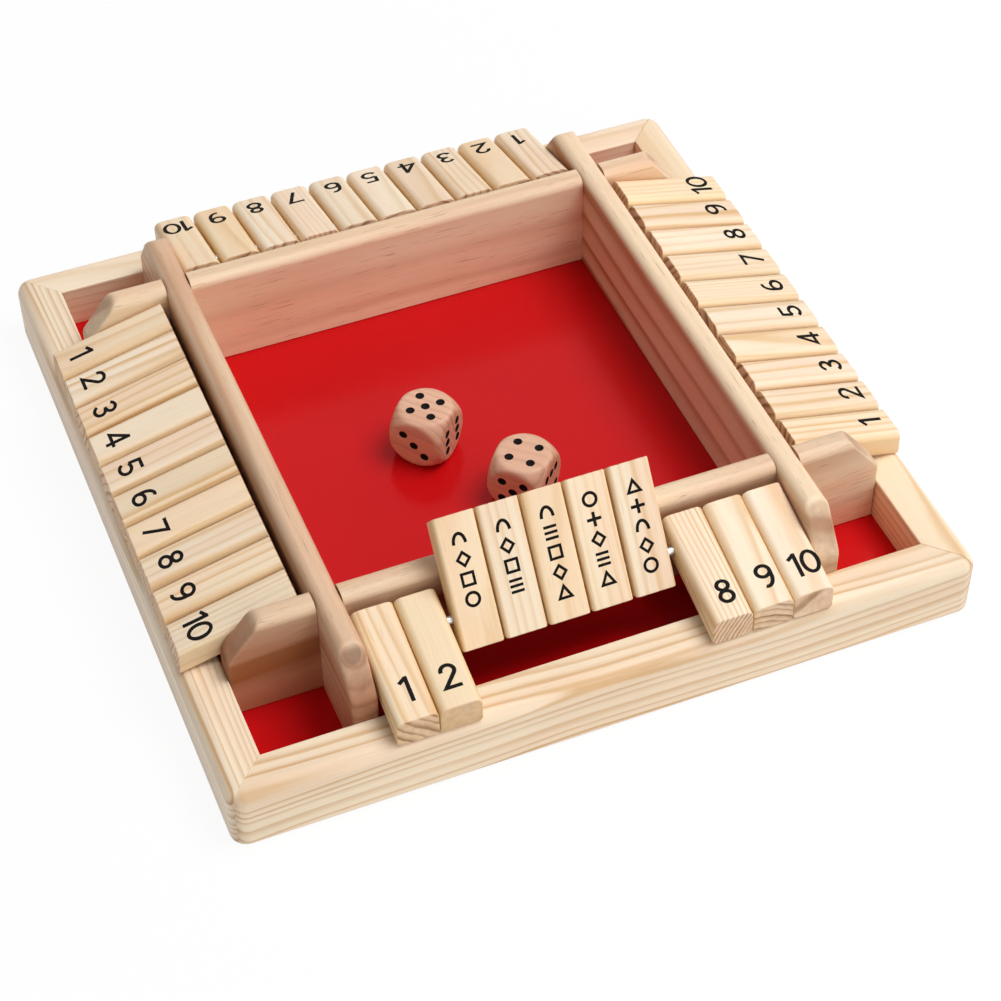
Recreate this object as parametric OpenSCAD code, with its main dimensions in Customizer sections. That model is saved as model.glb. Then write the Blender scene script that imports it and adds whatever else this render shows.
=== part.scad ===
// Shut the box for four players: a square pine tray with a row of ten hinged
// number tiles along each side, a red lined floor and two wooden dice.
// The origin is on the table under the middle of the box, +Z is up, and the
// front of the box faces -Y. Every row is the front row turned in steps of 90 degrees.

/* [Frame] */
// Outer width of the square frame
box_w = 230; // [215:1:260]
// Height of the four outer rails
rail_h = 21; // [19:0.5:23]
// Thickness of a rail, from its outer face to its inner face
rail_w = 13; // [11:0.5:16]
// Rounding of the rails' outer top edge
rail_round = 4.5; // [3:0.25:5.5]
// Rounding of the frame's four upright corners
corner_round = 5; // [2:0.5:8]
// Small rounding of the rails' bottom outer edge
rail_arris = 1; // [0.4:0.1:2]

/* [Floor] */
// Height of the base board's underside above the table
base_lift = 2; // [1:0.25:3]
// Thickness of the base board
base_t = 4; // [3:0.25:5]
// Depth of the groove in the rails that holds the base board's edge
groove_d = 4; // [2:0.5:6]
// Clearance between the base board's edge and the bottom of its groove
groove_clear = 0.2; // [0.1:0.1:0.6]
// Thickness of the red lining on the base board
lining_t = 0.5; // [0.3:0.1:1]

/* [Dividers] */
// Thickness of the four dividers
divider_t = 7.8; // [7:0.2:10]
// Height of the left and right dividers' top above the table
divider_h = 42; // [40:0.5:44]
// How much lower the front and back dividers stand
cross_drop = 0.8; // [0:0.2:2]
// Rounding of the dividers' top edges
divider_round = 3; // [1.5:0.25:3.4]
// Length of the slanted nose at each end of a divider
nose_len = 10.5; // [7:0.5:12]
// Height of the nose's lower end above the rails' top
nose_rise = 7; // [3:0.5:10]
// Rounding where the nose's slant starts and ends
nose_round = 4; // [1:0.5:6]
// Clearance on each side of a halving joint
lap_clear = 0.1; // [0.05:0.05:0.3]

/* [Tiles] */
// Length of a tile along its back
tile_len = 39.2; // [36:0.2:42]
// How much shorter the numbered side is, because the outer end is cut on a slant
end_slant = 2.4; // [0:0.2:3]
// Thickness of a tile
tile_t = 8.8; // [8:0.2:9.6]
// Distance from a tile's inner end to the middle of its bore
tile_tail = 9.2; // [8:0.2:10.4]
// Gap between neighbouring tiles
tile_gap = 0.9; // [0.6:0.05:1.2]
// Gap between a swinging tile's inner end and the divider
swing_clear = 0.7; // [0.5:0.1:2]
// How far a tile laid level would pass the rail's outer face
tile_over = 0.8; // [0:0.1:1]
// Rounding of the long edges on a tile's numbered side
tile_round = 2.4; // [1:0.2:3]
// Rounding of the long edges on a tile's back
tile_round_back = 1.2; // [0.6:0.2:2]
// Gap left where a tile rests on a rail or on a divider
rest_gap = 0.2; // [0.1:0.05:0.3]

/* [Rods] */
// Diameter of the four steel rods
rod_d = 3; // [2.4:0.1:4]
// Height of the rods' middle above the table
rod_h = 32; // [31:0.25:33]
// Running clearance between a rod and a tile's bore, on the radius
bore_clear = 0.05; // [0.02:0.01:0.1]
// Depth of the blind holes that seat a rod's ends
rod_seat = 4.5; // [3:0.25:6]
// Clearance around a rod in its blind hole, on the radius
seat_clear = 0.02; // [0.01:0.01:0.05]

/* [Dice] */
// Width of a die, flat to flat
die_w = 18; // [14:0.5:20]
// How much rounding takes off the middle of each of a die's edges
die_trim = 0.45; // [0.1:0.05:1]
// Diameter of a pip
pip_d = 2.8; // [1.6:0.1:3]
// Depth of a pip
pip_depth = 0.6; // [0.3:0.1:1]
// Distance between neighbouring pips in a row of three
pip_pitch = 3.5; // [3.2:0.1:4]

/* [Hidden] */
SIDES = ["front", "right", "back", "left"];
CROSSES = ["front", "back"];
UPRIGHTS = ["left", "right"];
TILES = 10;
DICE = 2;
// Front tiles that stand flipped over, from this number to that one
flipped_first = 3;
flipped_last = 7;
// Where the front tiles have slid to along their rod, as shares of the gap between tiles
front_slide = [0.42, -0.25, 0.75, 0.5, 0.25, 0.05, 0.1, 1.9, 1.2, 0.35];
// Middle and heading of each die on the floor
die_at = [[-13, 4], [7.5, -26]];
die_heading = [-46, -45];
// Turn of each die about its own X that brings the right face up
die_roll = [0, 90];

wood = "#e9d3a6";
board_wood = "#d9bf8c";
lining_red = "#b5121b";
steel = "#c8ccd0";
die_wood = "#dcb48c";

// Steps in each quarter round of an outline
arc_steps = 8;
round_fn = 48;
// How far a cutting shape runs past the surface it cuts
past = 1;

rail_out = box_w / 2;
rail_in = rail_out - rail_w;
floor_z = base_lift + base_t + lining_t;

// A tile's inner end swings on this radius, and the rod stands clear of the divider by it
tile_arm = tile_len - tile_tail;
end_cut = atan2(end_slant, tile_t);
tail_swing = norm([tile_tail, tile_t / 2]);
rod_to_divider = tail_swing + swing_clear;
rod_at = rail_out + tile_over - tile_arm;
divider_face = rod_at - rod_to_divider;
divider_at = divider_face - divider_t / 2;
tray_half = divider_at - divider_t / 2;
tray_w = 2 * tray_half;
tile_pitch = tray_w / TILES;
tile_w = tile_pitch - tile_gap;
cross_h = divider_h - cross_drop;
lap_z = (floor_z + cross_h) / 2;
bore_d = rod_d + 2 * bore_clear;
seat_d = rod_d + 2 * seat_clear;
ball_d = die_w * sqrt(2) - 2 * die_trim;

// Turn below level that lays a tile against a round edge, whose middle lies dx in front
// of the rod and dz below it
function lean_on(dx, dz, edge_r) =
    atan2(dz, dx) - asin((edge_r + tile_t / 2 + rest_gap) / norm([dx, dz]));
rest_turn = lean_on(rail_out - rail_round - rod_at, rod_h - rail_h + rail_round, rail_round);
function flip_turn(top_z) =
    let (dx = rod_to_divider + divider_round, dz = rod_h - top_z + divider_round)
    -180 - lean_on(dx, dz, divider_round);

// The points of a circle's arc that rounds the corner at b between a and c
function unit(v) = v / norm(v);
function corner(a, b, c, r) =
    let (u = unit(a - b), v = unit(c - b))
    let (half = acos(u * v) / 2)
    let (centre = b + unit(u + v) * r / sin(half))
    let (from = b + u * r / tan(half) - centre, to = b + v * r / tan(half) - centre)
    let (start = atan2(from[1], from[0]), turn = atan2(to[1], to[0]) - start)
    let (sweep = turn > 180 ? turn - 360 : turn < -180 ? turn + 360 : turn)
    [for (k = [0 : arc_steps])
        let (angle = start + sweep * k / arc_steps)
        centre + r * [cos(angle), sin(angle)]];

// An outline with a rounding at each of its points, where 0 leaves the point sharp
function rounded(points, radii) =
    let (n = len(points))
    [for (k = [0 : n - 1])
        each (radii[k] == 0
            ? [points[k]]
            : corner(points[(k + n - 1) % n], points[k], points[(k + 1) % n], radii[k]))];

// Extrudes an outline drawn in Y and Z along X, about the middle
module along_x(length) {
    rotate([90, 0, 90])
        linear_extrude(length, center = true)
            children();
}

// Turns the front side's shapes to another side: 0 front, 1 right, 2 back, 3 left
module on_side(side) {
    rotate([0, 0, 90 * side])
        children();
}

// The space that belongs to the front side, between its two mitre planes
module mitre_wedge() {
    reach = rail_out + past;
    translate([0, 0, -past])
        linear_extrude(rail_h + 2 * past)
            polygon([[0, 0], [-reach, -reach], [reach, -reach]]);
}

module rail_bar() {
    outline = [[-rail_out, 0], [-rail_in, 0], [-rail_in, rail_h], [-rail_out, rail_h]];
    along_x(box_w)
        polygon(rounded(outline, [rail_arris, 0, 0, rail_round]));
}

module round_column() {
    outline = [[rail_out, rail_out], [-rail_out, rail_out], [-rail_out, -rail_out], [rail_out, -rail_out]];
    radii = [for (k = [0 : 3]) corner_round];
    translate([0, 0, -past])
        linear_extrude(rail_h + 2 * past)
            polygon(rounded(outline, radii));
}

// The groove in the front rail for the base board's edge
module board_groove() {
    translate([-rail_out, -rail_in - groove_d, base_lift])
        cube([box_w, groove_d + past, base_t]);
}

module rail(side) {
    color(wood)
        on_side(side)
            difference() {
                intersection() {
                    rail_bar();
                    mitre_wedge();
                    round_column();
                }
                board_groove();
            }
}

module base_board() {
    board_w = 2 * (rail_in + groove_d - groove_clear);
    color(board_wood)
        translate([-board_w / 2, -board_w / 2, base_lift])
            cube([board_w, board_w, base_t]);
}

module lining() {
    color(lining_red)
        translate([-rail_in, -rail_in, base_lift + base_t])
            cube([2 * rail_in, 2 * rail_in, lining_t]);
}

// A divider along X, about the middle of its length, with a slanted nose at each end
module divider_bar(top_z) {
    nose_z = rail_h + nose_rise;
    shoulder = rail_in - nose_len;
    side_view = [
        [rail_in, floor_z], [rail_in, nose_z], [shoulder, top_z],
        [-shoulder, top_z], [-rail_in, nose_z], [-rail_in, floor_z]
    ];
    half_t = divider_t / 2;
    end_view = [[-half_t, floor_z], [half_t, floor_z], [half_t, top_z], [-half_t, top_z]];
    intersection() {
        rotate([90, 0, 0])
            linear_extrude(divider_t + 2 * past, center = true)
                polygon(rounded(side_view, [0, nose_round, nose_round, nose_round, nose_round, 0]));
        along_x(2 * rail_in)
            polygon(rounded(end_view, [0, 0, divider_round, divider_round]));
    }
}

// The two notches where a divider along X crosses the other pair, from low_z to high_z
module lap_notches(low_z, high_z) {
    notch_w = divider_t + 2 * lap_clear;
    for (end = [-1, 1])
        translate([end * divider_at - notch_w / 2, -divider_t, low_z])
            cube([notch_w, 2 * divider_t, high_z - low_z]);
}

// The two blind holes that seat the ends of the rods on the +Y face of a divider along X
module rod_seats() {
    for (end = [-1, 1])
        translate([end * rod_at, divider_t / 2 - rod_seat, rod_h])
            rotate([-90, 0, 0])
                cylinder(h = rod_seat + past, d = seat_d, $fn = round_fn);
}

// The left and right dividers run through on top, so their notches open downwards
module divider_upright(name) {
    turn = name == "left" ? -90 : 90;
    color(wood)
        rotate([0, 0, turn])
            translate([0, -divider_at, 0])
                difference() {
                    divider_bar(divider_h);
                    lap_notches(floor_z - past, lap_z + lap_clear / 2);
                    rod_seats();
                }
}

// The front and back dividers pass under them, so their notches open upwards
module divider_cross(name) {
    turn = name == "front" ? 0 : 180;
    color(wood)
        rotate([0, 0, turn])
            translate([0, -divider_at, 0])
                difference() {
                    divider_bar(cross_h);
                    lap_notches(lap_z - lap_clear / 2, cross_h + past);
                    rod_seats();
                }
}

module rod(side) {
    rod_len = tray_w + 2 * (rod_seat - rest_gap);
    color(steel)
        on_side(side)
            translate([-rod_len / 2, -rod_at, rod_h])
                rotate([0, 90, 0])
                    cylinder(h = rod_len, d = rod_d, $fn = round_fn);
}

// A tile about the middle of its bore, numbered side up and outer end towards -Y
module tile_blank() {
    half_w = tile_w / 2;
    half_t = tile_t / 2;
    outline = [[-half_w, -half_t], [half_w, -half_t], [half_w, half_t], [-half_w, half_t]];
    radii = [tile_round_back, tile_round_back, tile_round, tile_round];
    difference() {
        translate([0, tile_tail, 0])
            rotate([90, 0, 0])
                linear_extrude(tile_len)
                    polygon(rounded(outline, radii));
        translate([-half_w - past, 0, 0])
            rotate([0, 90, 0])
                cylinder(h = tile_w + 2 * past, d = bore_d, $fn = round_fn);
        translate([-half_w - past, -tile_arm, -half_t])
            rotate([-end_cut, 0, 0])
                translate([0, -end_slant - past, -past])
                    cube([tile_w + 2 * past, end_slant + past, tile_t + 3 * past]);
    }
}

function is_flipped(side, number) =
    side == 0 && number >= flipped_first && number <= flipped_last;
function tile_x(side, number) =
    let (slide = side == 0 ? front_slide[number - 1] : 0)
    -tray_half + tile_pitch * (number - 0.5) + slide * tile_gap;

module tile(side, number) {
    turn = is_flipped(side, number) ? flip_turn(cross_h) : rest_turn;
    color(wood)
        on_side(side)
            translate([tile_x(side, number), -rod_at, rod_h])
                rotate([turn, 0, 0])
                    tile_blank();
}

// Each face of a die: its outward direction, the directions to its right and up as it is
// looked at, and its pips in steps of the pip pitch
corners4 = [[-1, 1], [1, 1], [-1, -1], [1, -1]];
middle = [0, 0];
DIE_FACES = [
    [[0, 0, 1], [1, 0, 0], [0, 1, 0], concat(corners4, [middle])],
    [[0, 0, -1], [1, 0, 0], [0, -1, 0], [[-1, 1], [1, -1]]],
    [[0, -1, 0], [1, 0, 0], [0, 0, 1], [[-1, 1], middle, [1, -1]]],
    [[0, 1, 0], [-1, 0, 0], [0, 0, 1], corners4],
    [[1, 0, 0], [0, 1, 0], [0, 0, 1], concat(corners4, [[-1, 0], [1, 0]])],
    [[-1, 0, 0], [0, -1, 0], [0, 0, 1], [middle]]
];

module die(index) {
    pip_r = (pip_d * pip_d / 4 + pip_depth * pip_depth) / (2 * pip_depth);
    place = die_at[index];
    color(die_wood)
        translate([place[0], place[1], floor_z + die_w / 2])
            rotate([0, 0, die_heading[index]])
                rotate([die_roll[index], 0, 0])
                    difference() {
                        intersection() {
                            cube(die_w, center = true);
                            sphere(d = ball_d, $fn = 2 * round_fn);
                        }
                        for (face = DIE_FACES, pip = face[3])
                            translate(face[0] * (die_w / 2 + pip_r - pip_depth)
                                + (face[1] * pip[0] + face[2] * pip[1]) * pip_pitch)
                                sphere(r = pip_r, $fn = round_fn);
                    }
}

function rail_name(side) = str("rail_", SIDES[side]);
function rod_name(side) = str("rod_", SIDES[side]);
function divider_name(name) = str("divider_", name);
function tile_name(side, number) = str("tile_", SIDES[side], "_", number);
function die_name(index) = str("die_", index + 1);

for (side = [0 : 3])
    rail(side);
base_board();
lining();
for (name = UPRIGHTS)
    divider_upright(name);
for (name = CROSSES)
    divider_cross(name);
for (side = [0 : 3])
    rod(side);
for (side = [0 : 3], number = [1 : TILES])
    tile(side, number);
for (index = [0 : DICE - 1])
    die(index);
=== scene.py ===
# %% [markdown]
# # A four-player shut the box, in pine
#
# The real game is a square tray of pine rails round a red floor. Four low dividers cross
# near the corners and leave a trough along every side, and in each trough ten numbered
# tiles hang on a thin steel rod. Players throw the dice in the middle and tip their tiles.
#
# A packed solid model already says where every part is and how it moves, so nothing has to
# be measured twice. This lesson dresses it: each part is built again in the same place as a
# finely rounded mesh, with a material worked out from how the real thing is made.

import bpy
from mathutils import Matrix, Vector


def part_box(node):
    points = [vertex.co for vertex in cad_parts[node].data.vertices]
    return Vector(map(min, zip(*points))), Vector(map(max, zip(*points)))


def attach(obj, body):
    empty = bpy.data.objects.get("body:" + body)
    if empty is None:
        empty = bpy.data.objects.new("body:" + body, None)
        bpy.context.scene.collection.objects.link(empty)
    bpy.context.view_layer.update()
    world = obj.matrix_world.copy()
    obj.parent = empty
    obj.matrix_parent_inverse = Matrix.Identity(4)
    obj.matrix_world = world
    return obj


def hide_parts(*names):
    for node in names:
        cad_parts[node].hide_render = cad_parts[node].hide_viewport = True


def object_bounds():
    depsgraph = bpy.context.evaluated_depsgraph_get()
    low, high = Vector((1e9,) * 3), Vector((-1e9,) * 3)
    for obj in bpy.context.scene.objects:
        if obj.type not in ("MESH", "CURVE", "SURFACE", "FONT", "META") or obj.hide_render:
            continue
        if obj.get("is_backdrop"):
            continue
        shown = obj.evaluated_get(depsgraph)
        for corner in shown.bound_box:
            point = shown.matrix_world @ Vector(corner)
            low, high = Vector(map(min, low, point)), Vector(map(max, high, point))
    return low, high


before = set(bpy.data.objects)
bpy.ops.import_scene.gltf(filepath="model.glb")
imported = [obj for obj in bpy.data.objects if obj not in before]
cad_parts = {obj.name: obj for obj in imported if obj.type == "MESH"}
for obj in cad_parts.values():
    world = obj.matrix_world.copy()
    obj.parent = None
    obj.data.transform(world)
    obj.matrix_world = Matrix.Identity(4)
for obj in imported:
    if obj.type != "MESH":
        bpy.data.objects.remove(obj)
cad_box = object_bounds()

# %% [markdown]
# ## Units and small tools
#
# A woodworker thinks in millimetres and Blender counts in metres, so every mesh is built
# in millimetres and made small at the very end. Pieces are built for the front of the game,
# and quarter turns carry them to the other sides.

# %% Tools used by every piece
import math
import random

import bmesh
import bpy
import numpy as np
from mathutils import Matrix, Vector
from mathutils.geometry import delaunay_2d_cdt

MM = 0.001
SIDES = {"front": 0, "right": 90, "back": 180, "left": 270}
chance = random.Random(11)


def turned(degrees, axis):
    """A turn about X, Y or Z."""
    return Matrix.Rotation(math.radians(degrees), 4, axis)


def turn_to(side):
    """The quarter turn that carries a piece from the front to this side."""
    return turned(SIDES[side], "Z")


def box_mm(node):
    """Lowest and highest corner of a solid part, in millimetres."""
    low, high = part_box(node)
    return low / MM, high / MM


def to_mesh(shape, name, turn_out=True):
    """Turns a bmesh into a mesh, with its faces turned outwards if they aren't yet."""
    if turn_out:
        bmesh.ops.recalc_face_normals(shape, faces=shape.faces)
    mesh = bpy.data.meshes.new(name)
    shape.to_mesh(mesh)
    shape.free()
    return mesh


print("one millimetre is", MM, "of Blender's units")

# %% [markdown]
# ## Sections and lofts
#
# Rails, dividers and tiles are all machined sticks: one outline, carried along the length.
# Plain blocks with a bevel on every edge would look soft all over, while a router leaves a
# wide rounding on some edges and only a broken arris on others. So each stick is lofted:
# rings of points are set along it, and neighbouring rings are joined by four-sided faces.

# %% Lofting
def arc(centre, radius, start, end, steps):
    """Points on an arc, from one angle to another, in degrees."""
    points = []
    for k in range(steps + 1):
        angle = math.radians(start + (end - start) * k / steps)
        x, y = radius * math.cos(angle), radius * math.sin(angle)
        points.append((centre[0] + x, centre[1] + y))
    return points


def loft(rings):
    """Joins closed rings of points into one skin, with a flat cap on each end."""
    shape = bmesh.new()
    rows = [[shape.verts.new(point) for point in ring] for ring in rings]
    for row, after in zip(rows, rows[1:]):
        for k in range(len(row)):
            corner = (k + 1) % len(row)
            shape.faces.new((row[k], row[corner], after[corner], after[k]))
    shape.faces.new(rows[0])
    shape.faces.new(rows[-1])
    return shape


def lathe_x(radius, low, high, chamfer=0.0, sides=40):
    """A round bar along X, with its end edges broken if a chamfer is given."""
    stations = [(low, radius - chamfer), (high, radius - chamfer)]
    if chamfer:
        stations[1:1] = [(low + chamfer, radius), (high - chamfer, radius)]
    rings = []
    for x, r in stations:
        rings.append([(x, y, z) for y, z in arc((0, 0), r, 0, 360, sides)[:-1]])
    return loft(rings)


def into_scene(name, data):
    """Puts a mesh, a lamp or a camera in the scene as an object."""
    made = bpy.data.objects.new(name, data)
    bpy.context.scene.collection.objects.link(made)
    return made


def carve(mesh, cutter):
    """Takes the cutter out of the mesh, as a drill or saw does."""
    stock = into_scene("stock", mesh)
    tool = into_scene("cutter", cutter)
    cut = stock.modifiers.new("cut", "BOOLEAN")
    cut.operation = "DIFFERENCE"
    cut.solver = "EXACT"
    cut.object = tool
    bpy.context.view_layer.update()
    seen = stock.evaluated_get(bpy.context.evaluated_depsgraph_get())
    result = bpy.data.meshes.new_from_object(seen)
    bpy.data.objects.remove(stock)
    bpy.data.objects.remove(tool)
    return result


print("a quarter turn in two steps:", arc((0, 0), 1, 0, 90, 2))

# %% [markdown]
# ## Where the wood grew
#
# The pattern of wood is solid. A trunk is a stack of cones, one for each year, and a saw
# cuts straight through them, so that lines along the faces and curves on the ends belong to
# the same rings. A flat picture wrapped round a stick can't do that.
#
# So every wooden piece is told where in a trunk it was sawn. Each point of its mesh carries
# its place along the trunk and across it, in millimetres from the pith, which stays with
# the piece when it swings. Other values say how wide and clear the rings are there, how
# golden the wood is, where hands have rubbed an edge, and where the end grain shows. The
# tone and gold values also carry painted shade low on the dividers and painted bounce
# light on the long sides of the tiles.

# %% Grain for a piece
TRUNK = 400  # mm each way in which a stick may start along its trunk
END_FROM = 0.35  # how far along the stick a face looks where end grain begins
END_SPAN = 0.5
CREASE = 50  # degrees


def write(mesh, name, values, domain="POINT"):
    """Stores a number or vector per point or face corner, for a material to read."""
    values = np.asarray(values, np.float32)
    kind, key = ("FLOAT_VECTOR", "vector") if values.ndim == 2 else ("FLOAT", "value")
    mesh.attributes.new(name, kind, domain).data.foreach_set(key, values.ravel())


def points_of(mesh):
    """All points of a mesh as rows of three numbers."""
    places = np.zeros(len(mesh.vertices) * 3)
    mesh.vertices.foreach_get("co", places)
    return places.reshape(-1, 3)


def edge_nearness(places, low, high, reach):
    """1 on the edges of a box, falling to 0 over the reach."""
    gaps = np.minimum(np.abs(places - low), np.abs(places - high))
    gaps.sort(axis=1)
    return np.exp(-gaps[:, 1] / reach)


def saw_from_trunk(mesh, pith, look, lean=(0.0, 0.0), wear=0.0):
    """Gives a stick that lies along X its place in the trunk.

    pith is the trunk's middle, across (Y) and up (Z) from the stick's own axis. look is
    (year width in mm, tone, how golden, strength of the rings), and lean tilts the trunk a
    few degrees so that lines run out of the face. look and wear may differ by point."""
    places = points_of(mesh)
    tilt = turned(lean[0], "Z") @ turned(lean[1], "Y")
    grown = places @ np.array(tilt.to_3x3()).T
    grown += (chance.uniform(-TRUNK, TRUNK), -pith[0], -pith[1])
    year, tone, gold, rings = (np.zeros(len(places)) + part for part in look)
    write(mesh, "grain", grown)
    write(mesh, "year", year)
    write(mesh, "look", np.stack((tone, gold, rings), axis=1))
    write(mesh, "wear", np.zeros(len(places)) + wear)
    facing = np.array([abs(face.normal.x) for face in mesh.polygons])
    counts = [face.loop_total for face in mesh.polygons]
    ends = np.clip((facing - END_FROM) / END_SPAN, 0, 1)
    write(mesh, "end_grain", np.repeat(ends, counts), "CORNER")


def place_piece(mesh, node, place, materials, body="box"):
    """Puts a finished mesh in the place of a solid part and hangs it on its body."""
    mesh.transform(place)
    mesh.transform(Matrix.Scale(MM, 4))
    painted = [face.material_index for face in mesh.polygons]
    mesh.materials.clear()
    for material in materials:
        mesh.materials.append(material)
    mesh.polygons.foreach_set("material_index", painted)
    mesh.shade_smooth()
    mesh.set_sharp_from_angle(angle=math.radians(CREASE))
    piece = into_scene(node.replace("_", "."), mesh)
    flat = piece.modifiers.new("flat faces stay flat", "WEIGHTED_NORMAL")
    flat.keep_sharp = True
    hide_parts(node)
    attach(piece, body)


print("the first stick starts", round(chance.uniform(-TRUNK, TRUNK)), "mm along its trunk")

# %% [markdown]
# ## Sums on sockets
#
# A material in Blender is a graph of small boxes. Wiring them one by one hides the idea, so
# this class wraps the output of a node and lets Python write the sum: `ring * 0.5 + dust`
# makes two Math nodes. Colours go through other nodes, because a Math node turns a colour
# grey. Where sockets share a name, as in the Mix node, a number picks one.

# %% A class for sums on sockets
class Value:
    """The output of a node, for sums and for the sockets of other nodes."""

    def __init__(self, tree, socket):
        self.tree = tree
        self.socket = socket

    def node(self, kind, settings=None, inputs=None, give=0):
        """Adds a node: its type, its settings, what its sockets get and what it gives."""
        made = self.tree.nodes.new("ShaderNode" + kind)
        for key, setting in (settings or {}).items():
            if key == "stops":
                fill_ramp(made.color_ramp, setting)
            else:
                setattr(made, key, setting)
        for key, given in (inputs or {}).items():
            if isinstance(given, Value):
                self.tree.links.new(given.socket, made.inputs[key])
            else:
                made.inputs[key].default_value = given
        if isinstance(give, tuple):
            return [Value(self.tree, made.outputs[key]) for key in give]
        return Value(self.tree, made.outputs[give]) if made.outputs else None

    def stored(self, name, give="Vector"):
        """What the mesh carries under this name."""
        return self.node("Attribute", {"attribute_name": name}, give=give)

    def parts(self):
        """The three numbers of a vector."""
        return self.node("SeparateXYZ", None, {0: self}, give=("X", "Y", "Z"))

    def math(self, operation, first, second=0.0):
        return self.node("Math", {"operation": operation}, {0: first, 1: second})

    def __add__(self, other):
        return self.math("ADD", self, other)

    def __sub__(self, other):
        return self.math("SUBTRACT", self, other)

    def __rsub__(self, other):
        return self.math("SUBTRACT", other, self)

    def __mul__(self, other):
        return self.math("MULTIPLY", self, other)

    def __truediv__(self, other):
        return self.math("DIVIDE", self, other)

    def __pow__(self, other):
        return self.math("POWER", self, other)

    __radd__ = __add__
    __rmul__ = __mul__

    def between(self, low, high):
        """0 below low, 1 above high, and a soft step in between."""
        settings = {"interpolation_type": "SMOOTHSTEP"}
        return self.node("MapRange", settings, {"Value": self, "From Min": low, "From Max": high})

    def times(self, strength):
        """A colour made lighter or darker by a number."""
        return self.node("VectorMath", {"operation": "SCALE"}, {0: self, "Scale": strength})

    def blend(self, low, high):
        """A colour between two fixed ones, by this value from 0 to 1."""
        return self.node("Mix", {"data_type": "RGBA"}, {0: self, 6: low, 7: high}, give=2)

    def toward(self, other, share, how="MIX"):
        """This colour mixed with another one by a share from 0 to 1."""
        settings = {"data_type": "RGBA", "blend_type": how}
        return self.node("Mix", settings, {0: share, 6: self, 7: other}, give=2)

    def noise(self, amounts, shift=0.0, detail=2.0, roughness=0.5):
        """Cloudy noise, with this vector stretched by three amounts as its place."""
        inputs = {0: self, 1: amounts, 2: (shift, shift * 1.7, shift * 2.3)}
        place = self.node("VectorMath", {"operation": "MULTIPLY_ADD"}, inputs)
        inputs = {"Vector": place, "Scale": 1.0, "Detail": detail, "Roughness": roughness}
        return self.node("TexNoise", None, inputs)


def fill_ramp(ramp, stops):
    """Sets a colour ramp from pairs of place and grey level."""
    while len(ramp.elements) > 1:
        ramp.elements.remove(ramp.elements[-1])
    for number, (place, level) in enumerate(stops):
        stop = ramp.elements[0] if number == 0 else ramp.elements.new(place)
        stop.position = place
        stop.color = (level, level, level, 1.0)


def new_material(name):
    """An empty material, and a first value from which its graph can be written."""
    material = bpy.data.materials.new(name)
    material.use_nodes = True
    material.node_tree.nodes.clear()
    return material, Value(material.node_tree, None)


def finish_material(start, inputs, height, depth, strength):
    """Ends a material in one shader, with bumps up to depth millimetres deep."""
    bump = {"Height": height, "Strength": strength, "Distance": depth * MM}
    inputs["Normal"] = start.node("Bump", None, bump)
    shader = start.node("BsdfPrincipled", None, inputs)
    start.node("OutputMaterial", None, {"Surface": shader})


print("a value also knows", [word for word in vars(Value) if word[0] != "_"])

# %% [markdown]
# ## Pine
#
# Pine is nearly white wood with one darker line a year. In spring the tree grows fast and
# pale; towards autumn the wood gets denser and browner, and then growth stops. So each ring
# is a slow fade to brown with a sharp outer edge: a ramp over the fraction of a year. Rings
# are never quite round, so noise that is stretched along the trunk pushes the radius about.
#
# On top come fibres, finer than a hair and centimetres long, a few resin canals that show
# as short dark dashes, slow changes from cream to pink, and browner end grain. All of it
# reads the place in the trunk, and no picture is laid on a face; the painted shade and
# the painted bounce light come in through each point's tone and gold values.

# %% Pine recipe
YEAR_FADE = [
    (0.0, 0.45), (0.08, 0.03), (0.45, 0.06), (0.68, 0.4), (0.84, 1.0), (0.94, 1.0), (1.0, 0.45),
]
RESIN = (0.30, 0.13, 0.05, 1.0)
END_LINES = (0.22, 0.10, 0.05, 1.0)
PITH = (0.22, 0.11, 0.07, 1.0)
PITH_RIM = (2.9, 2.2)


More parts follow.
